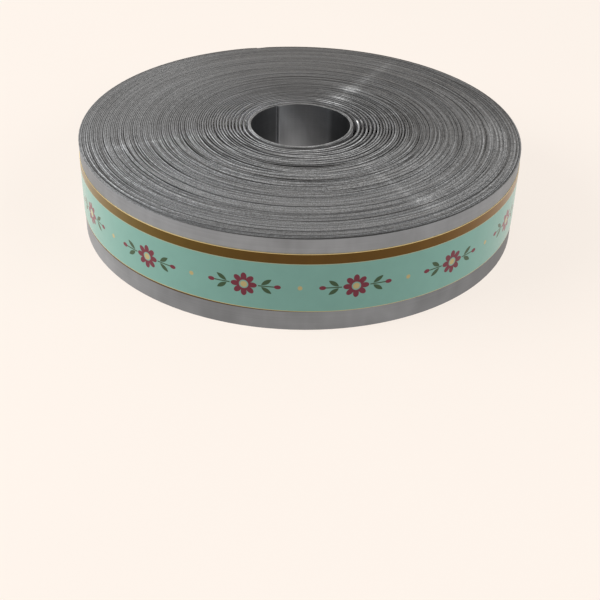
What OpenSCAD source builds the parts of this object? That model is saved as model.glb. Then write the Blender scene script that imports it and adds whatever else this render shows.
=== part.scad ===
// A roll of thin iron strip, lying flat on its end, with a printed paper label round it.
// The axis of the bore is Z and the lowest turns rest on the plane Z = 0. Seen from above, the
// strip winds outwards clockwise. Both of its ends and the lap of the label face about +Y.

/* [Strip] */
// Width of the strip, which is the height of the roll
strip_w = 19.05; // [14:0.05:32]
// Thickness of the strip
strip_t = 0.2; // [0.15:0.05:0.25]
// Length of strip on the roll
strip_len = 15240; // [13000:10:16000]

/* [Winding] */
// Outside diameter over the last turn
roll_d = 90; // [88:0.5:96]
// Diameter of the open bore
bore_d = 20.6; // [18:0.1:24]
// Turns from the bore over which the springing apart of the turns dies away
loose_turns = 10; // [6:1:12]
// Distance from the first turn to the second
loose_pitch = 0.9; // [0.6:0.05:1]
// How far the inner turns stand above the outer ones
crown_h = 0.5; // [0:0.1:1]
// Most that a turn stands above its neighbours
stagger_h = 0.22; // [0:0.02:0.3]
// Depth at which the gaps between tight turns are closed
gap_depth = 1.2; // [0.6:0.1:2]
// Depth at which the gap outside the first turn is closed
loose_gap_depth = 6.5; // [2:0.5:7.5]
// Where the strip's inner end lies, in degrees from +X towards +Y
inner_end_angle = 119; // [60:1:160]
// Where the strip's outer end lies, in degrees from +X towards +Y
tail_angle = 105; // [60:1:140]

/* [Label] */
// Width of the label
label_w = 12.1; // [8:0.1:13]
// Height of the label's lower edge
label_z = 4; // [1:0.1:6]
// Thickness of the label
label_t = 0.1; // [0.05:0.01:0.2]
// Length of label that laps over its own start
label_lap = 9; // [4:0.5:20]

/* [Hidden] */
$fn = 180;

iron_colour = "#77777a";
label_colour = "#8fc0b2";

roll_r = roll_d / 2;
bore_r = bore_d / 2;

// The last turn is wound on a circle of this radius, one strip inside the roll's outside.
last_turn_r = roll_r - 2 * strip_t;

// A winding of n turns inside the last one: how many first pitches its springing adds up to, the
// pitch that is left far from the bore, the inner radius of its turn i, and its length
function sprung_turns(i) = loose_turns * (1 - exp(-i / loose_turns));
function tight_pitch(n) =
    (last_turn_r - bore_r - loose_pitch * sprung_turns(n)) / (n - sprung_turns(n));
function even_turn_r(i, n) =
    bore_r + tight_pitch(n) * i + (loose_pitch - tight_pitch(n)) * sprung_turns(i);
function sum(list, i = 0) = i < len(list) ? list[i] + sum(list, i + 1) : 0;
function wound_len(n) =
    2 * PI * (roll_r + sum([for (i = [0:n - 1]) even_turn_r(i, n) + strip_t / 2]));

// The winding has the turns whose length comes nearest to the strip's.
mean_turn = PI * (roll_r + bore_r);
turn_count = [for (n = [40:200]) if (wound_len(n) + mean_turn / 2 >= strip_len) n][0];

// Turns that lie flush with the last one and carry the roll
flush_turns = 5;
// Turns after which the winding was slack and left a wider gap
slack_turns = [11, 26, 34, 46, 51, 66];
slack_shift = 0.45 * (tight_pitch(turn_count) - strip_t);

// Half planes larger than the roll cut out its halves.
beyond = 2 * roll_d;

// Inner radius of turn i, counted outwards from the bore
function turn_r(i) = even_turn_r(i, turn_count) - (is_slack(i) ? slack_shift : 0);

// A slack turn lies closer to the bore, so that the gap outside it is wider.
function is_slack(i) = len(search(i, slack_turns)) > 0;

// Height of a turn's lower edge: a crown that rises half way in and stays at its height, and a
// small stagger that repeats unevenly
function crown(r) = crown_h * sin(90 * min(1, 2 * (roll_r - r) / roll_r));
function stagger(i) = stagger_h * (0.5 + 0.3 * sin(137.5 * i) + 0.2 * sin(41 * i));
function turn_z(i) =
    i >= turn_count - flush_turns ? 0
    : crown(turn_r(i)) + stagger(i);

// Depth of the gap outside turn i
function gap_z(i) = gap_depth + (loose_gap_depth - gap_depth) * exp(-i / loose_turns);

// The section of turn i at one end of the roll: its edge, then the floor of the gap outside it
function turn_edge(i, edge_z, floor_z) = [
    [turn_r(i), edge_z],
    [turn_r(i) + strip_t, edge_z],
    [turn_r(i) + strip_t, floor_z],
    [i < turn_count - 1 ? turn_r(i + 1) : last_turn_r + strip_t / 2, floor_z],
];

// The turns between the first and the last in section: from inside the first turn out over the
// upper end of the roll, and back under the lower end
module winding_section() {
    start_r = bore_r + 1.5 * strip_t;
    upper_floor = strip_w - gap_z(0);
    lower_floor = gap_z(0) + crown_h + stagger_h;
    upper = [for (i = [1:turn_count - 1])
        each turn_edge(i, turn_z(i) + strip_w, strip_w - gap_z(i))];
    lower = [for (i = [1:turn_count - 1])
        each turn_edge(i, turn_z(i), gap_z(i) + crown_h + stagger_h)];
    polygon(concat(
        [[start_r, upper_floor], [turn_r(1), upper_floor]],
        upper,
        [for (k = [len(lower) - 1:-1:0]) lower[k]],
        [[turn_r(1), lower_floor], [start_r, lower_floor]]
    ));
}

// Outline of a turn that starts or ends at an angle. Two half circles, with centres half a
// strip apart, meet smoothly on one side and leave a step of one strip at that angle.
module stepped_circle(r, step_angle) {
    rotate(step_angle) {
        intersection() {
            circle(r = r);
            translate([-beyond / 2, -beyond]) square(beyond);
        }
        intersection() {
            translate([strip_t / 2, 0]) circle(r = r + strip_t / 2);
            translate([-beyond / 2, 0]) square(beyond);
        }
    }
}

// Outline of the roll over its last turn, enlarged by a margin
module wrap_outline(margin = 0) {
    stepped_circle(roll_r - strip_t + margin, tail_angle);
}

// The first turn. The strip's inner end lies against the inside of the turn round it.
module first_turn() {
    translate([0, 0, turn_z(0)]) linear_extrude(height = strip_w) difference() {
        circle(r = bore_r + 2 * strip_t);
        stepped_circle(bore_r, inner_end_angle);
    }
}

// The last turn. The strip's outer end lies on the turn below it.
module last_turn() {
    linear_extrude(height = strip_w) difference() {
        wrap_outline();
        circle(r = last_turn_r);
    }
}

// The strip as it is wound: turned turns between a first and a last one with their free ends
module strip_coil() {
    color(iron_colour) {
        first_turn();
        rotate_extrude() winding_section();
        last_turn();
    }
}

// A wedge from the strip's outer end backwards, as long as the label's lap
module lap_wedge() {
    lap_angle = label_lap / (PI * roll_d) * 360;
    rotate(tail_angle) polygon([
        [0, 0],
        [beyond, 0],
        [beyond * cos(lap_angle), beyond * sin(lap_angle)],
    ]);
}

// The label: one layer all round and a second one over the lap
module label_band() {
    color(label_colour)
        translate([0, 0, label_z]) linear_extrude(height = label_w) difference() {
            union() {
                wrap_outline(label_t);
                intersection() {
                    wrap_outline(2 * label_t);
                    lap_wedge();
                }
            }
            wrap_outline();
        }
}

strip_coil();
label_band();
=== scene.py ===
"""Dresses the roll of iron strip: the wound strip, its printed paper label, and a plain stage."""

import math

import bmesh
import bpy
from bpy.props import FloatProperty, FloatVectorProperty, IntProperty, PointerProperty
from mathutils import Matrix, Vector, noise


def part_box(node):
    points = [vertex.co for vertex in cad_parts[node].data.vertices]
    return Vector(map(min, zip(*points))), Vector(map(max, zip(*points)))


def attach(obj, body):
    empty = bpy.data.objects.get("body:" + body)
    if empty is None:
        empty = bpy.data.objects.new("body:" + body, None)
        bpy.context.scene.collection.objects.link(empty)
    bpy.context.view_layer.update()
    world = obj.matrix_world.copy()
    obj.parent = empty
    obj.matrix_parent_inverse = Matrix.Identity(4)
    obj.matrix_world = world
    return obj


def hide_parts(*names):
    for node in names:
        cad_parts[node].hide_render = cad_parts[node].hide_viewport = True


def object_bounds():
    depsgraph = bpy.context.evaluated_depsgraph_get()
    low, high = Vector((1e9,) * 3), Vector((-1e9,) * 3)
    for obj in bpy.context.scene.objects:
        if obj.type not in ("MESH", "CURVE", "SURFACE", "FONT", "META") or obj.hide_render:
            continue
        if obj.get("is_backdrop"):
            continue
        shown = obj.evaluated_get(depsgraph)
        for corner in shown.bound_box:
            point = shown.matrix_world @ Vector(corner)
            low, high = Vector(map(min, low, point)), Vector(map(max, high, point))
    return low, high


bl_info = {
    "name": "Roll of iron strip",
    "version": (1, 0, 0),
    "blender": (4, 5, 0),
    "location": "3D View > Sidebar > Strip roll",
    "description": "Winds a thin iron strip into a flat roll and puts a printed paper label round it",
    "category": "Add Mesh",
}

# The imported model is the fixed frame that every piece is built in.
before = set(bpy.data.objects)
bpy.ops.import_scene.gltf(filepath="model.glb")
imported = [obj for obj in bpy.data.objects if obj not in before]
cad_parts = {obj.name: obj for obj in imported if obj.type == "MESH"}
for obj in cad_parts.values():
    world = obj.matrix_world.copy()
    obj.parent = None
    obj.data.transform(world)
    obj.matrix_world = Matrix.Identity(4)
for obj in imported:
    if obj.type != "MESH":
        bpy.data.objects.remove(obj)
CAD_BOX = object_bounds()
LABEL_LOW, LABEL_HIGH = (corner.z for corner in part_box("label_band"))

MM = 0.001

# The outer end of the strip lies at this angle from +X towards +Y, as in the model.
TAIL_ANGLE = math.radians(105)

# A face stands upright if the upward part of its normal is below this.
UPRIGHT = 0.3


# Sizes and colours

class StripSettings(bpy.types.PropertyGroup):
    """Sizes of the strip and of its winding."""

    width: FloatProperty(
        name="Strip width",
        description="Width of the strip, which is the height of the roll",
        default=19.05 * MM,
        unit="LENGTH",
        subtype="DISTANCE",
    )
    thickness: FloatProperty(
        name="Strip thickness",
        description="Thickness of the strip",
        default=0.2 * MM,
        unit="LENGTH",
        subtype="DISTANCE",
        precision=5,
    )
    burr: FloatProperty(
        name="Burrs",
        description="How much wider the slit edges are than the strip is thick",
        default=0.12 * MM,
        unit="LENGTH",
        subtype="DISTANCE",
        precision=6,
    )
    turns: IntProperty(
        name="Turns",
        description="Turns of strip on the roll",
        default=82,
        min=20,
    )
    steps: IntProperty(
        name="Steps in a turn",
        description="Straight steps that make up one turn",
        default=120,
        min=48,
    )
    outer_radius: FloatProperty(
        name="Outer radius",
        description="Radius of the roll over the strip's outer end",
        default=45 * MM,
        unit="LENGTH",
        subtype="DISTANCE",
    )
    bore_radius: FloatProperty(
        name="Bore radius",
        description="Radius of the open bore",
        default=10.3 * MM,
        unit="LENGTH",
        subtype="DISTANCE",
    )
    spring_turns: FloatProperty(
        name="Sprung turns",
        description="Turns from the bore over which the springing dies away",
        default=10,
        min=1,
    )
    spring_pitch: FloatProperty(
        name="Sprung pitch",
        description="Distance between the first sprung turns at the front and the back",
        default=0.95 * MM,
        unit="LENGTH",
        subtype="DISTANCE",
        precision=5,
    )
    spring_right: FloatProperty(
        name="More on the right",
        description="How much further apart the first sprung turns lie on the right",
        default=0.05 * MM,
        unit="LENGTH",
        subtype="DISTANCE",
        precision=5,
    )
    spring_left: FloatProperty(
        name="Less on the left",
        description="How much closer together the first sprung turns lie on the left",
        default=0.15 * MM,
        unit="LENGTH",
        subtype="DISTANCE",
        precision=5,
    )
    inner_end: FloatProperty(
        name="Inner end",
        description="Angle at which the strip's inner end lies in the bore",
        default=math.radians(119),
        unit="ROTATION",
        subtype="ANGLE",
    )
    crown: FloatProperty(
        name="Crown",
        description="How far the inner turns stand above the outer ones",
        default=0.5 * MM,
        unit="LENGTH",
        subtype="DISTANCE",
        precision=5,
    )
    stagger: FloatProperty(
        name="Stagger",
        description="Most that a turn stands above its neighbours",
        default=0.2 * MM,
        unit="LENGTH",
        subtype="DISTANCE",
        precision=5,
    )
    edge_round: FloatProperty(
        name="Edge rounding",
        description="Width of the rounding along the slit edges",
        default=0.03 * MM,
        unit="LENGTH",
        subtype="DISTANCE",
        precision=6,
    )
    face_colour: FloatVectorProperty(
        name="Rolled face",
        description="Colour of the strip's rolled faces",
        default=(0.236, 0.250, 0.268),
        size=3,
        subtype="COLOR",
        min=0,
        max=1,
    )
    edge_colour: FloatVectorProperty(
        name="Slit edge",
        description="Colour of the strip's slit edges",
        default=(0.181, 0.195, 0.208),
        size=3,
        subtype="COLOR",
        min=0,
        max=1,
    )


class LabelSettings(bpy.types.PropertyGroup):
    """Sizes and colours of the paper label."""

    width: FloatProperty(
        name="Label width",
        description="Width of the label, up the side of the roll",
        default=LABEL_HIGH - LABEL_LOW,
        unit="LENGTH",
        subtype="DISTANCE",
    )
    lower_edge: FloatProperty(
        name="Lower edge",
        description="Height of the label's lower edge above the floor",
        default=LABEL_LOW,
        unit="LENGTH",
        subtype="DISTANCE",
    )
    thickness: FloatProperty(
        name="Label thickness",
        description="Thickness of the label",
        default=0.08 * MM,
        unit="LENGTH",
        subtype="DISTANCE",
        precision=6,
    )
    lap: FloatProperty(
        name="Lap",
        description="Length of label that laps over its own start",
        default=9 * MM,
        unit="LENGTH",
        subtype="DISTANCE",
    )
    repeats: IntProperty(
        name="Flowers",
        description="How often the flower is printed round the roll",
        default=14,
        min=4,
    )
    ground: FloatVectorProperty(
        name="Ground",
        description="Colour of the printed ground",
        default=(0.230, 0.44, 0.372),
        size=3,
        subtype="COLOR",
        min=0,
        max=1,
    )
    stripe: FloatVectorProperty(
        name="Bronze stripes",
        description="Colour of the bronze stripes along the edges",
        default=(0.092, 0.046, 0.006),
        size=3,
        subtype="COLOR",
        min=0,
        max=1,
    )
    gold: FloatVectorProperty(
        name="Gold",
        description="Colour of the gold hairlines and of the flower's eye",
        default=(0.56, 0.44, 0.2),
        size=3,
        subtype="COLOR",
        min=0,
        max=1,
    )
    petal: FloatVectorProperty(
        name="Petals",
        description="Colour of the petals",
        default=(0.17, 0.018, 0.036),
        size=3,
        subtype="COLOR",
        min=0,
        max=1,
    )
    leaf: FloatVectorProperty(
        name="Leaves",
        description="Colour of the leaves",
        default=(0.035, 0.075, 0.03),
        size=3,
        subtype="COLOR",
        min=0,
        max=1,
    )


class StageSettings(bpy.types.PropertyGroup):
    """The floor, the lamps and the camera."""

    ground: FloatVectorProperty(
        name="Floor",
        description="Colour of the floor and of the background",
        default=(0.991, 0.905, 0.831),
        size=3,
        subtype="COLOR",
        min=0,
        max=1,
    )
    camera_distance: FloatProperty(
        name="Camera distance",
        description="Distance from the camera to the middle of the roll, along the floor",
        default=204.45 * MM,
        unit="LENGTH",
        subtype="DISTANCE",
    )
    camera_height: FloatProperty(
        name="Camera height",
        description="Height of the camera above the floor",
        default=114.72 * MM,
        unit="LENGTH",
        subtype="DISTANCE",
    )
    camera_pitch: FloatProperty(
        name="Camera pitch",
        description="Angle by which the camera looks down",
        default=math.radians(34.118),
        unit="ROTATION",
        subtype="ANGLE",
    )
    camera_yaw: FloatProperty(
        name="Camera yaw",
        description="Angle by which the camera turns to the right",
        default=math.radians(0.224),
        unit="ROTATION",
        subtype="ANGLE",
    )
    camera_roll: FloatProperty(
        name="Camera roll",
        description="Angle by which the camera's right side is raised",
        default=math.radians(1.503),
        unit="ROTATION",
        subtype="ANGLE",
    )
    lens: FloatProperty(
        name="Lens",
        description="Focal length on a sensor 36 mm wide",
        default=65.17,
    )


# Node trees

class Socket:
    """One output of a node tree, with the arithmetic that the materials use."""

    def __init__(self, tree, output):
        self.tree = tree
        self.output = output

    def __add__(self, other):
        return self.tree.math("ADD", self, other)

    __radd__ = __add__

    def __sub__(self, other):
        return self.tree.math("SUBTRACT", self, other)

    def __rsub__(self, other):
        return self.tree.math("SUBTRACT", other, self)

    def __mul__(self, other):
        return self.tree.math("MULTIPLY", self, other)

    __rmul__ = __mul__

    def __truediv__(self, other):
        return self.tree.math("DIVIDE", self, other)

    def __rtruediv__(self, other):
        return self.tree.math("DIVIDE", other, self)

    def __pow__(self, other):
        return self.tree.math("POWER", self, other)

    def __abs__(self):
        return self.tree.math("ABSOLUTE", self)


class Tree:
    """The node tree of a material or of the world."""

    def __init__(self, owner):
        owner.use_nodes = True
        self.nodes = owner.node_tree.nodes
        self.links = owner.node_tree.links
        self.nodes.clear()

    def node(self, kind, settings=None, inputs=None):
        """Adds a node. Its settings come first, then the values or links of its sockets."""
        node = self.nodes.new(kind)
        for name, value in (settings or {}).items():
            if name == "stops":
                ramp = node.color_ramp
                ramp.elements[0].position = value[0][0]
                ramp.elements[0].color = value[0][1]
                ramp.elements[1].position = value[-1][0]
                ramp.elements[1].color = value[-1][1]
                for place, colour in value[1:-1]:
                    ramp.elements.new(place).color = colour
            else:
                setattr(node, name, value)
        for key, value in (inputs or {}).items():
            if isinstance(value, Socket):
                self.links.new(value.output, node.inputs[key])
            else:
                node.inputs[key].default_value = value
        return node

    def get(self, kind, output, settings=None, inputs=None):
        """Adds a node and returns one of its outputs."""
        return Socket(self, self.node(kind, settings, inputs).outputs[output])

    def math(self, operation, *values):
        """One step of arithmetic on values or sockets."""
        return self.get("ShaderNodeMath", 0, {"operation": operation}, dict(enumerate(values)))

    def attribute(self, name):
        """A number that the piece's mesh holds at each vertex."""
        settings = {"attribute_type": "GEOMETRY", "attribute_name": name}
        return self.get("ShaderNodeAttribute", "Fac", settings)

    def point(self):
        """The place on the object, in metres."""
        return self.get("ShaderNodeTexCoord", "Object")

    def parts(self, vector):
        """The X, Y and Z of a vector, as three sockets."""
        node = self.node("ShaderNodeSeparateXYZ", None, {0: vector})
        return [Socket(self, output) for output in node.outputs]

    def vector(self, x, y=0.0):
        """A vector on the plane from two numbers."""
        return self.get("ShaderNodeCombineXYZ", 0, None, {0: x, 1: y})

    def length(self, x, y):
        """The length of a vector on the plane."""
        return self.math("SQRT", x * x + y * y)

    def noise(self, vector, scale, detail=2.0, rough=0.5):
        """Noise from 0 to 1."""
        inputs = {"Vector": vector, "Scale": scale, "Detail": detail, "Roughness": rough}
        return self.get("ShaderNodeTexNoise", 0, {"noise_dimensions": "3D"}, inputs)

    def remap(self, value, low, high, to_low=0.0, to_high=1.0):
        """A value from low to high becomes one from to_low to to_high, and goes no further."""
        inputs = {0: value, 1: low, 2: high, 3: to_low, 4: to_high}
        return self.get("ShaderNodeMapRange", 0, {"clamp": True}, inputs)

    def below(self, value, edge, soft=0.05):
        """1 where the value is below the edge and 0 above it, with a soft step."""
        return self.remap(value, edge - soft / 2, edge + soft / 2, 1.0, 0.0)

    def between(self, value, low, high, soft=0.05):
        """1 where the value is between low and high."""
        return self.below(value, high, soft) * (1 - self.below(value, low, soft))

    def mix(self, share, first, second):
        """A colour between two colours."""
        inputs = {0: share, 6: self.colour(first), 7: self.colour(second)}
        return self.get("ShaderNodeMix", 2, {"data_type": "RGBA"}, inputs)

    def tint(self, colour, value):
        """A colour made lighter or darker by a value."""
        grey = self.get("ShaderNodeCombineColor", 0, None, {0: value, 1: value, 2: value})
        inputs = {0: 1.0, 6: self.colour(colour), 7: grey}
        return self.get("ShaderNodeMix", 2, {"data_type": "RGBA", "blend_type": "MULTIPLY"}, inputs)

    @staticmethod
    def colour(value):
        """A colour for a socket: another socket, or three numbers with full alpha."""
        return value if isinstance(value, Socket) else (*value, 1.0)

    def surface(self, inputs):
        """The material's one shader and its output."""
        shader = self.get("ShaderNodeBsdfPrincipled", 0, None, inputs)
        self.node("ShaderNodeOutputMaterial", None, {"Surface": shader})


# Finishes

# Painted reflection, light and shade on the bore's wall: share of the way across it from left
# to right, and grey there
BORE_WALL_PAINTED_LIGHT = [
    (0.00, 0.30),
    (0.24, 0.60),
    (0.25, 0.82),
    (0.50, 0.88),
    (0.78, 0.74),
    (0.82, 0.36),
    (1.00, 0.13),
]

# Colour of the rolled faces in the gaps between the turns
GAP_COLOUR = (0.245, 0.250, 0.258)


def bore_painted_light(tree, strip, x, z):
    """Painted light and shade on the bore's wall: a soft band of painted reflection, a painted
    patch of light from above, painted shade at the top, and upright streaks.
    """
    across = tree.remap(x, -strip.bore_radius - strip.thickness, strip.bore_radius + strip.thickness)
    stops = [(place, (grey, grey, grey, 1.0)) for place, grey in BORE_WALL_PAINTED_LIGHT]
    wall = tree.get("ShaderNodeValToRGB", 0, {"stops": stops}, {0: across})

    # The painted patch of light lies between the strip's inner end and a slanting edge.
    inner_end = tree.remap(x, -5.30 * MM, -5.20 * MM)
    slanting_edge = tree.remap(z, 6 * MM, 19 * MM, 2.6 * MM, -2.6 * MM)
    lit = inner_end * tree.below((x - slanting_edge) * (1 / MM), 0.0, 4.0)
    # Painted shade: the wall is darker towards its top.
    darker_top = tree.remap(z, 15.5 * MM, 19.5 * MM, 1.05, 0.70)
    streaks = tree.noise(tree.vector(x * 1500), 1.0, 2.0, 0.5)
    return (wall + 0.75 * lit) * darker_top * (0.90 + 0.2 * streaks)


def rolled_face_material(strip):
    """The strip's rolled faces: satin steel with faint lines along the strip and a soft cloud, and
    painted light and shade in the gaps, on the bore's wall and on the band below the label.
    """
    material = bpy.data.materials.new("rolled_face")
    tree = Tree(material)
    along = tree.attribute("along")
    across = tree.attribute("across")
    x, y, z = tree.parts(tree.point())
    radius = tree.length(x, y)
    lines = tree.noise(tree.vector(along * 12, across * 5200), 1.0, 3.0, 0.6)
    fine_lines = tree.noise(tree.vector(along * 60, across * 14000), 1.0, 2.0, 0.6)
    cloud = tree.noise(tree.vector(along, across), 90.0, 3.0, 0.55)
    streaks = tree.noise(tree.vector(along * 420, across * 60), 1.0, 2.0, 0.5)

    # On average the shade is about 1.
    shade = 0.29 + 0.80 * cloud + 0.30 * lines + 0.14 * fine_lines + 0.22 * streaks

    # Painted shade and light: the band below the label is darker, most of all on the right, and
    # lighter at the left.
    low = tree.below(across, 6 * MM, 4 * MM)
    right = tree.remap(x, 31 * MM, 44 * MM)
    left = tree.remap(x, -24 * MM, -36 * MM)
    painted_shade = 1 - low * (0.16 + 0.38 * right - 0.35 * left)

    # Painted light in the gaps: the faces there are as bright as the slit edges at their lips and
    # brighter below, against the shade that falls deep between the turns.
    inside = tree.below(radius, strip.outer_radius - 0.5 * MM, 0.1 * MM)
    bore = tree.below(radius, strip.bore_radius + 0.1 * MM, 0.1 * MM)
    hidden = inside * (1 - bore)
    depth = tree.math("MINIMUM", across, strip.width - across)
    deep = tree.remap(depth, 0.03 * MM, 0.35 * MM)
    lip = tree.attribute("tone") * (1 - 0.30 * tree.attribute("crisp"))
    gap_tone = lip * (1 - deep) + tree.attribute("gap") * deep

    # The bore's wall takes its painted reflection, light and shade.
    bore_tone = shade * bore_painted_light(tree, strip, x, z)
    tone = (1 - inside) * shade * painted_shade + hidden * gap_tone + bore * bore_tone
    metal = tree.mix(hidden, tuple(strip.face_colour), GAP_COLOUR)
    tree.surface({
        "Base Color": tree.tint(metal, tone),
        "Metallic": 1.0,
        "Roughness": 0.44 + 0.10 * cloud - 0.06 * lines,
        "Normal": tree.get("ShaderNodeBump", 0, None, {
            "Strength": 0.25,
            "Distance": 0.00001,
            "Height": lines + 0.4 * fine_lines,
        }),
    })
    return material


# Painted highlights on the roll's end, and painted shade where the strength is below zero:
# radius as a share of the roll's, angle from the front in degrees, half length outwards and half
# width along the strip in mm, and strength
PAINTED_LIGHT_PATCHES = [
    (0.470, 150, 1.4, 2.2, 2.4),
    (0.365, 149, 1.2, 2.6, 2.4),
    (0.290, 152, 0.9, 2.8, 2.4),
    (0.640, 150, 12.0, 1.3, 0.55),
    (0.860, 37, 3.2, 2.2, 0.45),
    (0.650, 35, 11.0, 0.8, 0.35),
    (0.640, -72, 11.0, 0.7, 0.35),
    (0.820, -71, 3.0, 1.2, 0.45),
    (0.450, 108, 4.5, 0.9, 0.45),
    (0.272, 99, 0.8, 0.9, 5.0),
    (0.900, 86, 5.0, 10.0, 0.60),
    (0.520, 96, 5.0, 10.0, -0.22),
    (0.300, 20, 3.0, 9.0, 0.25),
]


def painted_patch_light(strip, tree, x, y):
    """How much brighter the painted highlights, and darker the painted shade, make the roll's end
    at a place.
    """
    painted_light_and_shade = 0.0
    for share, from_front, half_length, half_width, strength in PAINTED_LIGHT_PATCHES:
        angle = math.radians(from_front - 90)
        outwards = Vector((math.cos(angle), math.sin(angle)))
        middle = outwards * (share * strip.outer_radius)
        off_x = x - middle.x
        off_y = y - middle.y
        length = (off_x * outwards.x + off_y * outwards.y) / (half_length * MM)
        width = (off_y * outwards.x - off_x * outwards.y) / (half_width * MM)
        reach = length * length + width * width
        painted_light_and_shade = painted_light_and_shade + strength * tree.math("EXPONENT", -1.2 * reach)
    return painted_light_and_shade


def slit_edge_material(strip):
    """The strip's slit edges: short scratches, bright grains and painted highlights."""
    material = bpy.data.materials.new("slit_edge")
    tree = Tree(material)
    along = tree.attribute("along")
    crisp = tree.attribute("crisp")
    place = tree.point()
    x, y = tree.parts(place)[:2]
    scratch = tree.remap(tree.noise(tree.vector(along * 700), 1.0, 2.0, 0.6), 0.36, 0.64)
    speck = tree.remap(tree.noise(place, 4200.0, 1.0, 0.5), 0.36, 0.64)
    cloud = tree.remap(tree.noise(place, 60.0, 2.0, 0.5), 0.3, 0.7)
    front = tree.remap(y, -4 * MM, -24 * MM)
    shade = 0.86 + 0.06 * cloud + crisp * 0.25 * (scratch - 0.4)
    shade = shade + (0.02 + 0.60 * crisp + 0.45 * front) * (speck - 0.45)
    # Painted highlights and painted shade on the edges
    painted_light_and_shade = painted_patch_light(strip, tree, x, y) * (0.5 + scratch)
    tone = tree.attribute("tone") * shade * (1 + painted_light_and_shade)
    tree.surface({
        "Base Color": tree.tint(tuple(strip.edge_colour), tone),
        "Metallic": 1.0,
        "Roughness": 0.5 - 0.2 * scratch,
    })
    return material


# The label's print, in millimetres: height of the flowers' eyes, lower edge of the upper bronze
# stripe, width of a gold hairline, and the most that shows of the lower stripe
FLOWER_HEIGHT = 5.1
STRIPE_FOOT = 10.05
HAIRLINE = 0.1
SLIVER = 0.32


def print_flowers(tree, label, ground, ink, x, y, pitch):
    """A flower with its stems, leaves and buds, and half a dot at each end of its repeat. X and Y
    are in millimetres from the flower's eye."""
    side = abs(x)
    reach = tree.length(x, y)
    eye = tree.below(reach, 0.62)
    eye_ring = tree.below(reach, 0.86)

    # Eight petals, between which the flower is 1.25 mm in radius
    turned = tree.math("ARCTAN2", y, x)
    wave = abs(tree.math("COSINE", turned * 4))
    petals = tree.below(reach - (1.25 + 1.15 * wave ** 0.7), 0.0)

    # A stem to each side with two slanting leaves and a bud
    stem = tree.between(side, 2.6, 5.6) * tree.below(abs(y), 0.12)
    leaf_x = side - 4.1
    leaf_y = abs(y) - 0.85
    slant_x = leaf_x * 0.82 + leaf_y * 0.57
    slant_y = leaf_y * 0.82 - leaf_x * 0.57
    leaf = tree.below(abs(slant_y) + 0.33 * slant_x * slant_x, 0.42)
    bud_x = side - 6.1
    bud = tree.below(tree.math("SQRT", bud_x * bud_x + y * y * 2.2), 0.62)
    dot = tree.below(tree.length(pitch / 2 - side, y), 0.42)

    green = tree.tint(tuple(label.leaf), ink)
    red = tree.tint(tuple(label.petal), ink)
    gold = tree.tint(tuple(label.gold), ink)
    printed = ground
    for shape, colour in (
        (leaf, green),
        (stem, green),
        (petals, red),
        (eye_ring, ground),
        (eye, gold),
        (bud, red),
        (dot, gold),
    ):
        printed = tree.mix(shape, printed, colour)
    return printed


def label_material(label, length):
    """Printed paper: a pale green ground, bronze stripes, gold hairlines and a row of flowers."""
    material = bpy.data.materials.new("printed_label")
    tree = Tree(material)
    along = tree.attribute("along") * (1 / MM)
    height = tree.attribute("across") * (1 / MM)
    top = label.width / MM
    place = tree.vector(along, height)
    blot = tree.noise(place, 0.35, 3.0, 0.5)
    grain = tree.noise(place, 9.0, 2.0, 0.6)
    ground = tree.tint(tuple(label.ground), 0.90 + 0.12 * blot + 0.08 * grain)
    ink = 0.80 + 0.4 * grain

    # One flower in the middle of each repeat
    pitch = length / MM / label.repeats
    x = (tree.math("FRACT", along / pitch) - 0.5) * pitch
    printed = print_flowers(tree, label, ground, ink, x, height - FLOWER_HEIGHT, pitch)

    # The bronze stripe has a painted sheen that grows towards the sides of the roll, and it is a
    # little greener on the left.
    # The label is cut a little askew, so on the left a sliver of a second stripe shows below.
    roll_x = tree.parts(tree.point())[0]
    stripe = 1 - tree.below(height, STRIPE_FOOT)
    above_sliver = height - tree.remap(roll_x, 8 * MM, -20 * MM, 0.0, SLIVER)
    sliver = tree.below(above_sliver, 0.0)
    aside = abs(roll_x) / (34.5 * MM)
    blot_and_painted_sheen = (0.85 + 0.3 * blot) * (1 + 0.9 * aside * aside * aside)
    olive = (label.stripe[0], 1.27 * label.stripe[1], 1.5 * label.stripe[2])
    bronze = tree.mix(tree.remap(roll_x, -4 * MM, -30 * MM), tuple(label.stripe), olive)

    # A faint hairline below the upper stripe, and a full one along each edge of the label
    hairlines = 0.5 * tree.between(height, STRIPE_FOOT - HAIRLINE, STRIPE_FOOT)
    hairlines = hairlines + (1 - tree.below(height, top - HAIRLINE))
    hairlines = hairlines + tree.below(above_sliver, HAIRLINE)
    hairlines = tree.math("MINIMUM", hairlines, 1.0)
    printed = tree.mix(stripe, printed, tree.tint(bronze, blot_and_painted_sheen))
    printed = tree.mix(hairlines, printed, tree.tint(tuple(label.gold), 1.2 + 0.2 * grain))
    printed = tree.mix(sliver, printed, tree.tint(tuple(label.stripe), 0.8))
    tree.surface({
        "Base Color": printed,
        "Metallic": 0.8 * stripe,
        "Roughness": 0.46 - 0.17 * stripe + 0.06 * grain,
        "Specular IOR Level": 0.15,
        "Coat Weight": 0.8 - 0.45 * stripe,
        "Coat Roughness": 0.2,
        "Coat IOR": 1.33,
        "Normal": tree.get("ShaderNodeBump", 0, None, {
            "Strength": 0.15,
            "Distance": 0.00001,
            "Height": grain,
        }),
    })
    return material


# The winding

# In this part, what is added to a turn count inside noise.noise only picks another part of the
# noise, so that the patterns don't repeat each other.

def roll_radius(strip, angle):
    """Radius of the roll over its last turn. It grows by one strip over half a turn."""
    before_end = (angle - TAIL_ANGLE) % (2 * math.pi)
    half_strip = strip.thickness / 2
    if before_end > math.pi:
        return strip.outer_radius - strip.thickness
    return strip.outer_radius - half_strip + half_strip * math.cos(before_end)


def limited(value):
    """A value that goes no further than 0 and 1."""
    return min(1.0, max(0.0, value))


def smooth_step(value):
    """A smooth rise from 0 to 1 for a value from 0 to 1."""
    share = limited(value)
    return share * share * (3 - 2 * share)


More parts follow.
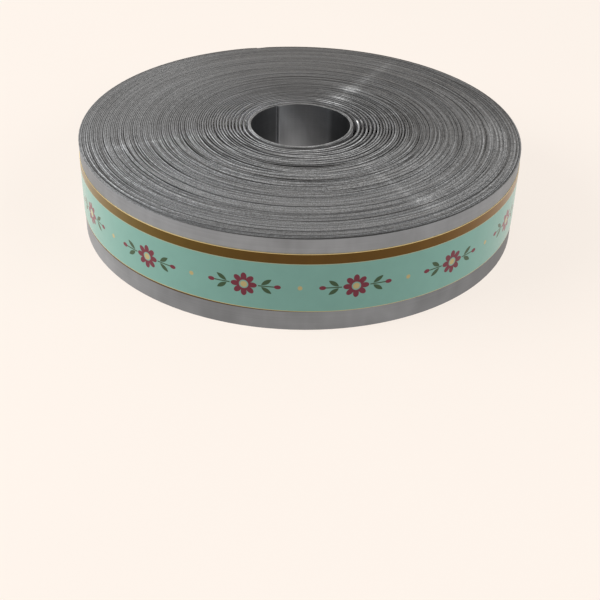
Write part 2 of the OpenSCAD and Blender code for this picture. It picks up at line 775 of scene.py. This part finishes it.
def even_radius(strip, turn, angle):
    """Radius of the strip's outer face in an even winding that has sprung apart at the bore."""

    # How much a place counts as the right and as the left, from 0 to 1
    right = (0.5 + 0.5 * math.cos(angle)) ** 2.5
    left = (0.5 - 0.5 * math.cos(angle - math.radians(20))) ** 2.5
    sprung = strip.spring_pitch + strip.spring_right * right - strip.spring_left * left
    first = strip.bore_radius + strip.thickness
    second = first + strip.thickness + 1.1 * strip.burr
    last = strip.outer_radius - strip.thickness
    fade = strip.spring_turns
    free = max(0.0, turn - 1)
    total = strip.turns - 2.5
    faded = fade * (1 - math.exp(-total / fade))
    tight = (last - second - sprung * faded) / (total - faded)
    grown = tight * free + (sprung - tight) * fade * (1 - math.exp(-free / fade))
    close = 0.6 * MM * left * math.exp(-free / 6)

    # The first turn keeps to the round of the bore, the second one lies on it, and the strip
    # leaves them after that.
    on_first = smooth_step(2 * turn - 1.5)
    sprung_free = smooth_step((free - 0.7) / 0.6)
    return first + (second - first) * on_first + (grown - close) * sprung_free


# Gaps where the winding was slack: radius as a share of the roll's, angle from the front in
# degrees (positive to the right), half the arc that it covers, and its extra width in mm
SLACK_GAPS = [
    (0.412, 2, 44, 0.52),
    (0.461, 70, 60, 0.14),
    (0.540, -4, 50, 0.34),
    (0.542, 70, 50, 0.14),
    (0.563, 172, 65, 0.20),
    (0.699, -52, 18, 0.20),
    (0.735, 86, 44, 0.18),
    (0.754, -61, 16, 0.18),
    (0.800, -40, 14, 0.16),
    (0.867, 14, 38, 0.16),
    (0.872, -56, 20, 0.14),
    (0.985, 18, 34, 0.26),
]

# How the roll's end looks by direction: angle from the front in degrees, how crisp its turns
# show, how bright their edges are, and how bright the faces in the gaps are. The two
# brightnesses are painted light and shade round the roll.
DIRECTIONS = [
    (-180, 0.12, 0.59, 2.4),
    (-135, 0.03, 0.62, 3.6),
    (-100, 0.04, 0.58, 4.0),
    (-86, 0.10, 0.59, 4.0),
    (-78, 0.45, 0.67, 3.2),
    (-68, 1.00, 0.78, 1.5),
    (-35, 0.90, 0.82, 1.8),
    (-15, 0.75, 0.96, 2.0),
    (0, 0.60, 1.05, 1.6),
    (30, 0.70, 1.04, 1.6),
    (50, 0.90, 0.98, 1.4),
    (75, 0.85, 0.72, 2.2),
    (100, 0.80, 0.52, 2.8),
    (125, 0.80, 0.54, 2.0),
    (150, 0.50, 0.61, 2.0),
    (180, 0.12, 0.59, 2.4),
]


def by_direction(angle):
    """Crispness and the two painted brightnesses at an angle from +X towards +Y."""
    from_front = (math.degrees(angle) + 270) % 360 - 180
    for before, after in zip(DIRECTIONS, DIRECTIONS[1:]):
        if from_front <= after[0]:
            share = (from_front - before[0]) / (after[0] - before[0])
            return [low + (high - low) * share for low, high in zip(before[1:], after[1:])]


def crispness(strip, turn, angle):
    """How crisp the turns show at a place. The outer part of the front is smoother."""
    share = even_radius(strip, turn, angle) / strip.outer_radius
    outer = smooth_step((share - 0.55) / 0.25)
    front = max(0.0, -math.sin(angle)) ** 3
    return by_direction(angle)[0] * (1 - 0.65 * front * outer)


def slack_places(strip):
    """The slack gaps, each halfway between two turns: the turn count there, the angle of its
    middle, half its arc in degrees and its extra width."""
    places = []
    for share, from_front, half_arc, extra in SLACK_GAPS:
        middle = math.radians(from_front - 90)
        between = (strip.inner_end - middle) / (2 * math.pi) % 1 + 0.5
        while even_radius(strip, between, middle) < share * strip.outer_radius:
            between += 1
        places.append((between, middle, half_arc, extra * MM))
    return places


def slack_at(places, turn, angle):
    """How far the slack gaps push the strip aside at a place, and how much painted shade they put
    beside themselves. Each one pushes the turns on both sides of it, less and less over about seven
    turns."""
    shift = 0.0
    painted_shade = 0.0
    for between, middle, half_arc, extra in places:
        off = (math.degrees(angle - middle) + 180) % 360 - 180
        if abs(off) >= half_arc:
            continue
        opening = math.cos(math.radians(90 * off / half_arc)) ** 2
        past = turn + off / 360 - between
        shift += extra * opening * math.copysign(0.5 * math.exp(-abs(past) / 7), past)
        # Painted shade beside each slack gap
        painted_shade += min(1.0, extra / (0.35 * MM)) * opening * math.exp(-(past + 0.2) ** 2)
    return shift, min(1.0, painted_shade)


def wound_radius(strip, turn, angle, shift):
    """Radius of the strip's outer face at a turn, counted outwards from its inner end, with the
    shift from the slack gaps. The turns are uneven, and less so the first three and last three."""
    round_turn = (1.3 * math.cos(angle), 1.3 * math.sin(angle))
    single = noise.noise(Vector((turn * 1.37, *round_turn)))
    group = noise.noise(Vector((turn * 0.31 + 70, *round_turn)))
    uneven = 0.2 + 0.8 * crispness(strip, turn, angle)
    fade = min(1.0, turn / 3, (strip.turns - turn) / 3)
    return (
        even_radius(strip, turn, angle)
        + shift
        + (0.20 * single + 0.12 * group) * uneven * fade * MM
    )


def edge_height(strip, turn, angle, radius):
    """Height of the strip's lower edge above the floor."""
    share = (strip.outer_radius - radius) / strip.outer_radius
    crown = strip.crown * math.sin(math.pi / 2 * min(1.0, share / 0.5))
    round_turn = (1.1 * math.cos(angle), 1.1 * math.sin(angle))
    single = noise.noise(Vector((turn * 1.23, *round_turn)))
    group = noise.noise(Vector((turn * 0.29 + 40, *round_turn)))
    uneven = 0.15 + 0.85 * crispness(strip, turn, angle)
    lift = strip.stagger * limited(0.45 + (0.9 * single + 0.8 * group) * uneven)
    return (crown + lift) * min(1.0, (strip.turns - 1 - turn) / 3)


def edge_tone(strip, turn, angle):
    """Brightness of the strip's edge at a place: painted light and shade by direction, arcs that
    differ from turn to turn, and brighter edges on the inner turns.
    """
    bright = by_direction(angle)[1]
    crisp = max(crispness(strip, turn, angle), 0.8 * math.exp(-turn / 14))
    around = (math.cos(angle), math.sin(angle))
    wide = noise.noise(Vector((turn * 0.37 + 11, 1.5 * around[0], 1.5 * around[1])))
    single = noise.noise(Vector((turn * 1.37 + 9, 1.8 * around[0], 1.8 * around[1])))
    single -= noise.noise(Vector((turn * 1.37 + 10.37, 1.8 * around[0], 1.8 * around[1])))
    short = noise.noise(Vector((turn * 1.70 + 31, 6 * around[0], 6 * around[1])))
    arcs = (0.40 - 0.30 * crisp) * wide + (0.03 + 0.80 * crisp) * single + 0.5 * crisp * short
    tone = bright * min(2.0, max(0.3, 1 + arcs))
    tone *= 1 + 0.38 * math.exp(-turn / 14) + 0.25 * math.exp(-turn / 7) * min(1.0, 4 * crisp)

    # Painted shade: the last turns have a darker edge at the back, and the very last one also at
    # the front.
    back = limited(turn - strip.turns + 3.5) * limited(2 * math.sin(angle))
    front = smooth_step(2 * math.cos(angle + math.radians(72)) - 0.8)
    front *= limited(2 * (turn - strip.turns + 2.2))
    return tone * (1 - 0.5 * back) * (1 - 0.65 * front)


def wind_strip(strip):
    """Winds a flat sheet, as wide as the strip, into the roll. Each vertex keeps its place on the
    strip, its turn, and the painted brightnesses that the materials read. Returns the bmesh and the
    layers that the next steps need."""

    # Clockwise from its inner end, the strip makes whole turns and a little more up to its tail.
    lead = (strip.inner_end - TAIL_ANGLE) / (2 * math.pi)
    turn_total = strip.turns - 1 + lead
    count = round(turn_total * strip.steps)
    angles = [strip.inner_end - 2 * math.pi * k / strip.steps for k in range(count + 1)]
    turns = [k / strip.steps for k in range(count + 1)]
    places = slack_places(strip)
    slack = [slack_at(places, turns[k], angles[k]) for k in range(count + 1)]
    radii = [wound_radius(strip, turns[k], angles[k], slack[k][0]) for k in range(count + 1)]

    # The last turn follows the roll's outside, each turn keeps clear of the next one, and the
    # inner end lies against the turn outside it.
    last_turn = count - strip.steps
    room = strip.thickness + 1.04 * strip.burr
    pressed_turns = 0.06
    for k in range(last_turn, count + 1):
        radii[k] = roll_radius(strip, angles[k])
    for k in range(last_turn, -1, -1):
        against = radii[k + strip.steps] - room
        pressed = math.exp(-(turns[k] / pressed_turns) ** 2)
        radii[k] = min(radii[k] + (against - radii[k]) * pressed, against)
    heights = [
        max(0.0, edge_height(strip, turns[k], angles[k], radii[k]))
        for k in range(count + 1)
    ]

    bm = bmesh.new()
    along = bm.verts.layers.float.new("along")
    across = bm.verts.layers.float.new("across")
    tone = bm.verts.layers.float.new("tone")
    crisp = bm.verts.layers.float.new("crisp")
    gap = bm.verts.layers.float.new("gap")
    wound = bm.verts.layers.float.new("wound")
    bmesh.ops.create_grid(bm, x_segments=count, y_segments=1, size=0.5)
    lengths = [0.0]
    for k in range(count):
        lengths.append(lengths[-1] + 2 * math.pi * radii[k] / strip.steps)
    for vertex in bm.verts:
        k = round((vertex.co.x + 0.5) * count)
        share = vertex.co.y + 0.5
        vertex[along] = lengths[k]
        vertex[across] = share * strip.width
        vertex[wound] = turns[k]
        # The edges and the gap faces beside the slack gaps get painted shade.
        vertex[tone] = edge_tone(strip, turns[k], angles[k]) * (1 - 0.45 * slack[k][1])
        vertex[crisp] = crispness(strip, turns[k], angles[k])
        vertex[gap] = by_direction(angles[k])[2] * (1 - 0.85 * slack[k][1])
        vertex.co = (
            radii[k] * math.cos(angles[k]),
            radii[k] * math.sin(angles[k]),
            heights[k] + share * strip.width,
        )
    bm.normal_update()
    return bm, along, across, wound


def thicken(bm, thickness):
    """Gives a wound sheet its thickness, towards the axis of the roll."""
    first = bm.faces[:][0]
    if first.normal.dot(first.calc_center_median() * Vector((1, 1, 0))) < 0:
        bmesh.ops.reverse_faces(bm, faces=bm.faces[:])
        bm.normal_update()
    bmesh.ops.solidify(bm, geom=bm.faces[:], thickness=thickness)
    bm.normal_update()


# The strip's flat map, as shares of its width: side of the large square for the upper edges, left
# side and side of the small square for the lower ones, left side and width of what lies above
# the small square, and margin and width of the two bands
LARGE_SQUARE = 0.70
SMALL_LEFT = 0.72
SMALL_SQUARE = 0.28
ROWS_LEFT = 0.725
ROWS_WIDTH = 0.27
BAND_LEFT = 0.005
BAND_WIDTH = 0.99

# Foot and height of the ends' place, of all the rows together, and of the two bands
ENDS_FOOT = 0.285
ENDS_HIGH = 0.008
ROWS_FOOT = 0.30
ROWS_HIGH = 0.41
OUTSIDE_FOOT = 0.72
BORE_FOOT = 0.86
BAND_HIGH = 0.12


def map_strip(bm, strip, across, wound):
    """Lays the wound strip out flat for baked textures, with the most room for its upper edges.

    The upper slit edges lie in a large square and the lower ones in a small square, as the roll's
    ends show them. The outside and the bore are two bands, and the faces between the turns are
    rows beside the large square, two to a turn. The strip's two ends share a small place.
    """
    flat = bm.loops.layers.uv.new("OFBake")
    last_start = max(vertex[wound] for vertex in bm.verts) - 1
    row_high = ROWS_HIGH / (2 * math.ceil(last_start + 1))
    for face in bm.faces:
        middle = face.calc_center_median()
        outwards = Vector((middle.x, middle.y, 0.0)).normalized().dot(face.normal)
        turn = sum(loop.vert[wound] for loop in face.loops) / len(face.loops)
        nearest = min(loop.vert.co.xy.length for loop in face.loops)
        row = 2 * math.floor(turn) + (outwards > 0)
        for loop in face.loops:
            place = loop.vert.co
            on_turn = loop.vert[wound]
            share_x = 0.5 + 0.49 * place.x / strip.outer_radius
            share_y = 0.5 + 0.49 * place.y / strip.outer_radius
            share_z = loop.vert[across] / strip.width
            if face.normal.z >= UPRIGHT:
                u = LARGE_SQUARE * share_x
                v = LARGE_SQUARE * share_y
            elif face.normal.z <= -UPRIGHT:
                u = SMALL_LEFT + SMALL_SQUARE * share_x
                v = SMALL_SQUARE * share_y
            elif abs(outwards) < 0.5:
                u = ROWS_LEFT + ROWS_WIDTH * share_z
                v = ENDS_FOOT + ENDS_HIGH * (place.xy.length - nearest) / strip.thickness
            elif outwards > 0 and turn > last_start:
                u = BAND_LEFT + BAND_WIDTH * (on_turn - last_start)
                v = OUTSIDE_FOOT + BAND_HIGH * share_z
            elif outwards < 0 and turn < 1:
                u = BAND_LEFT + BAND_WIDTH * on_turn
                v = BORE_FOOT + BAND_HIGH * share_z
            else:
                u = ROWS_LEFT + ROWS_WIDTH * (on_turn - math.floor(turn))
                v = ROWS_FOOT + row_high * (row + 0.1 + 0.8 * share_z)
            loop[flat].uv = (u, v)


def finished(bm, name, materials):
    """Turns a bmesh into an object of the scene."""
    mesh = bpy.data.meshes.new(name)
    bm.to_mesh(mesh)
    bm.free()
    for material in materials:
        mesh.materials.append(material)
    piece = bpy.data.objects.new(name, mesh)
    bpy.context.scene.collection.objects.link(piece)
    return piece


# Operators

class ROLL_OT_strip(bpy.types.Operator):
    """Wind the strip into its roll."""

    bl_idname = "roll.strip"
    bl_label = "Wound strip"

    def execute(self, context):
        strip = context.scene.roll_strip
        bm, along, across, wound = wind_strip(strip)
        thicken(bm, strip.thickness + strip.burr)

        # Only the edges that run along the strip are rounded.
        long_edges = [
            edge
            for edge in bm.edges
            if abs(edge.verts[0][across] - edge.verts[1][across]) < 1e-6
            and abs(edge.verts[0][along] - edge.verts[1][along]) > 1e-5
        ]
        bmesh.ops.bevel(
            bm,
            geom=long_edges,
            offset=strip.edge_round,
            offset_type="OFFSET",
            affect="EDGES",
            segments=1,
            profile=0.5,
            material=-1,
        )
        bm.normal_update()
        for face in bm.faces:
            face.smooth = True
            face.material_index = 0 if abs(face.normal.z) < UPRIGHT else 1
        for edge in bm.edges:
            kinds = {face.material_index for face in edge.link_faces}
            edge.smooth = len(kinds) == 1
        map_strip(bm, strip, across, wound)
        materials = [rolled_face_material(strip), slit_edge_material(strip)]
        piece = finished(bm, "wound_strip", materials)
        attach(piece, "root")
        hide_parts("strip_coil")
        return {"FINISHED"}


class ROLL_OT_label(bpy.types.Operator):
    """Wrap the printed label round the roll."""

    bl_idname = "roll.label"
    bl_label = "Printed label"

    def execute(self, context):
        strip = context.scene.roll_strip
        label = context.scene.roll_label
        lap = label.lap / strip.outer_radius
        start = TAIL_ANGLE + lap
        sweep = 2 * math.pi + lap
        climb_angle = math.radians(1.2)
        bm = bmesh.new()
        along = bm.verts.layers.float.new("along")
        across = bm.verts.layers.float.new("across")
        steps = 372
        bmesh.ops.create_grid(bm, x_segments=steps, y_segments=2, size=0.5)
        for vertex in bm.verts:
            turned = (vertex.co.x + 0.5) * sweep
            angle = start - turned

            # The paper lies a hair's breadth off the strip, and its end climbs over its start.
            climb = limited((turned - 2 * math.pi) / climb_angle + 1)
            radius = roll_radius(strip, angle) + label.thickness * (1.1 + 1.12 * climb)
            share = vertex.co.y + 0.5
            vertex[along] = strip.outer_radius * turned
            vertex[across] = share * label.width
            vertex.co = (
                radius * math.cos(angle),
                radius * math.sin(angle),
                label.lower_edge + share * label.width,
            )
        bm.normal_update()
        thicken(bm, label.thickness)
        for face in bm.faces:
            face.smooth = abs(face.normal.z) < UPRIGHT
        for edge in bm.edges:
            edge.smooth = all(face.smooth for face in edge.link_faces)
        length = 2 * math.pi * strip.outer_radius
        piece = finished(bm, "paper_label", [label_material(label, length)])
        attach(piece, "root")
        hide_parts("label_band")
        return {"FINISHED"}


# The square soft lamps: name, place and side in metres, and power in watts
SOFTBOXES = [
    ("left_softbox", (-0.625, -0.11, 0.296), 0.60, 5.5),
    ("right_softbox", (0.55, -0.317, 0.296), 0.55, 2.9),
    ("back_left_softbox", (-0.317, 0.55, 0.296), 0.55, 1.0),
    ("back_right_softbox", (0.55, 0.317, 0.296), 0.55, 0.8),
]


class ROLL_OT_stage(bpy.types.Operator):
    """Set up the floor, the soft lamps, the background and the camera."""

    bl_idname = "roll.stage"
    bl_label = "Stage"

    def execute(self, context):
        scene = context.scene
        stage = scene.roll_stage
        self.floor(stage, scene.roll_strip)
        self.background(scene, stage)
        for softbox in SOFTBOXES:
            self.lamp(scene, *softbox)
        self.camera(scene, stage)
        scene.view_settings.view_transform = "Standard"
        return {"FINISHED"}

    def seen(self, tree):
        """1 for what the camera sees itself or in metal, and 0 for the light on the object."""
        by_camera = tree.get("ShaderNodeLightPath", "Is Camera Ray")
        in_metal = tree.get("ShaderNodeLightPath", "Is Glossy Ray")
        return tree.math("MAXIMUM", by_camera, in_metal)

    def floor(self, stage, strip):
        """A round, pale floor. It takes the roll's shadow, and its glow adds no light to the
        roll. It is dark under the roll, where only the gaps between the turns show it."""
        bm = bmesh.new()
        bmesh.ops.create_circle(bm, cap_ends=True, segments=96, radius=6.0)
        material = bpy.data.materials.new("floor_paper")
        tree = Tree(material)
        colour = tuple(stage.ground)
        shade = tree.noise(tree.point(), 14.0, 2.0)
        radius = tree.length(*tree.parts(tree.point())[:2])
        half_mm = 0.5 * MM
        under_from = strip.bore_radius + half_mm
        under_to = strip.outer_radius - half_mm
        covered = tree.between(radius, under_from, under_to, 0.2 * MM)
        lit = tree.get("ShaderNodeBsdfDiffuse", 0, None, {
            "Color": tree.tint(colour, 0.19 + 0.02 * shade),
        })
        glow = tree.get("ShaderNodeEmission", 0, None, {
            "Color": tree.tint(colour, 1 - covered),
            "Strength": self.seen(tree) * 0.81,
        })
        both = tree.get("ShaderNodeAddShader", 0, None, {0: lit, 1: glow})
        tree.node("ShaderNodeOutputMaterial", None, {"Surface": both})
        finished(bm, "floor", [material])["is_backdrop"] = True

    def background(self, scene, stage):
        """A dim, even light on the roll, which the camera and metal see as a pale room."""
        world = bpy.data.worlds.new("pale_room")
        scene.world = world
        tree = Tree(world)
        seen = self.seen(tree)
        light = tree.get("ShaderNodeBackground", 0, None, {
            "Color": (0.96, 0.98, 1.0, 1.0),
            "Strength": 0.25,
        })
        shown = tree.get("ShaderNodeBackground", 0, None, {
            "Color": (*stage.ground, 1.0),
            "Strength": 1.0,
        })
        both = tree.get("ShaderNodeMixShader", 0, None, {0: seen, 1: light, 2: shown})
        tree.node("ShaderNodeOutputWorld", None, {"Surface": both})

    def lamp(self, scene, name, place, side, power):
        """A square soft lamp that faces the roll."""
        data = bpy.data.lights.new(name, "AREA")
        data.shape = "SQUARE"
        data.size = side
        data.energy = power
        lamp = bpy.data.objects.new(name, data)
        lamp.location = place
        lamp.rotation_euler = (-Vector(place)).to_track_quat("-Z", "Y").to_euler()
        scene.collection.objects.link(lamp)

    def camera(self, scene, stage):
        """The camera that took the photograph, in front of the roll and above it."""
        pitch = stage.camera_pitch
        yaw = stage.camera_yaw
        forward = Vector((
            math.sin(yaw) * math.cos(pitch),
            math.cos(yaw) * math.cos(pitch),
            -math.sin(pitch),
        ))
        right = forward.cross(Vector((0, 0, 1))).normalized()
        up = right.cross(forward)
        turn = Matrix.Rotation(-stage.camera_roll, 3, forward)
        right = turn @ right
        up = turn @ up
        data = bpy.data.cameras.new("photo_camera")
        data.sensor_width = 36
        data.lens = stage.lens
        data.clip_start = 0.01
        camera = bpy.data.objects.new("photo_camera", data)
        place = Vector((0, -stage.camera_distance, stage.camera_height))
        axes = Matrix((right, up, -forward)).transposed()
        camera.matrix_world = Matrix.Translation(place) @ axes.to_4x4()
        scene.collection.objects.link(camera)
        scene.camera = camera


class ROLL_PT_panel(bpy.types.Panel):
    """Buttons and sizes of the roll."""

    bl_idname = "ROLL_PT_panel"
    bl_label = "Roll of iron strip"
    bl_space_type = "VIEW_3D"
    bl_region_type = "UI"
    bl_category = "Strip roll"

    def draw(self, context):
        scene = context.scene
        for operator, settings in (
            ("roll.strip", scene.roll_strip),
            ("roll.label", scene.roll_label),
            ("roll.stage", scene.roll_stage),
        ):
            box = self.layout.box()
            box.operator(operator)
            for name in type(settings).__annotations__:
                box.prop(settings, name)


CLASSES = (
    StripSettings,
    LabelSettings,
    StageSettings,
    ROLL_OT_strip,
    ROLL_OT_label,
    ROLL_OT_stage,
    ROLL_PT_panel,
)


def register():
    for kind in CLASSES:
        bpy.utils.register_class(kind)
    bpy.types.Scene.roll_strip = PointerProperty(type=StripSettings)
    bpy.types.Scene.roll_label = PointerProperty(type=LabelSettings)
    bpy.types.Scene.roll_stage = PointerProperty(type=StageSettings)


def unregister():
    del bpy.types.Scene.roll_stage
    del bpy.types.Scene.roll_label
    del bpy.types.Scene.roll_strip
    for kind in reversed(CLASSES):
        bpy.utils.unregister_class(kind)


def main():
    """Makes the stage and the two pieces, and works out the sizes of the model and of the scene."""
    register()
    bpy.ops.roll.stage()
    bpy.ops.roll.strip()
    bpy.ops.roll.label()
    sizes = {"cad": CAD_BOX, "visual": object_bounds()}
    sizes = {name: [list(corner) for corner in box] for name, box in sizes.items()}


if __name__ == "__main__":
    main()
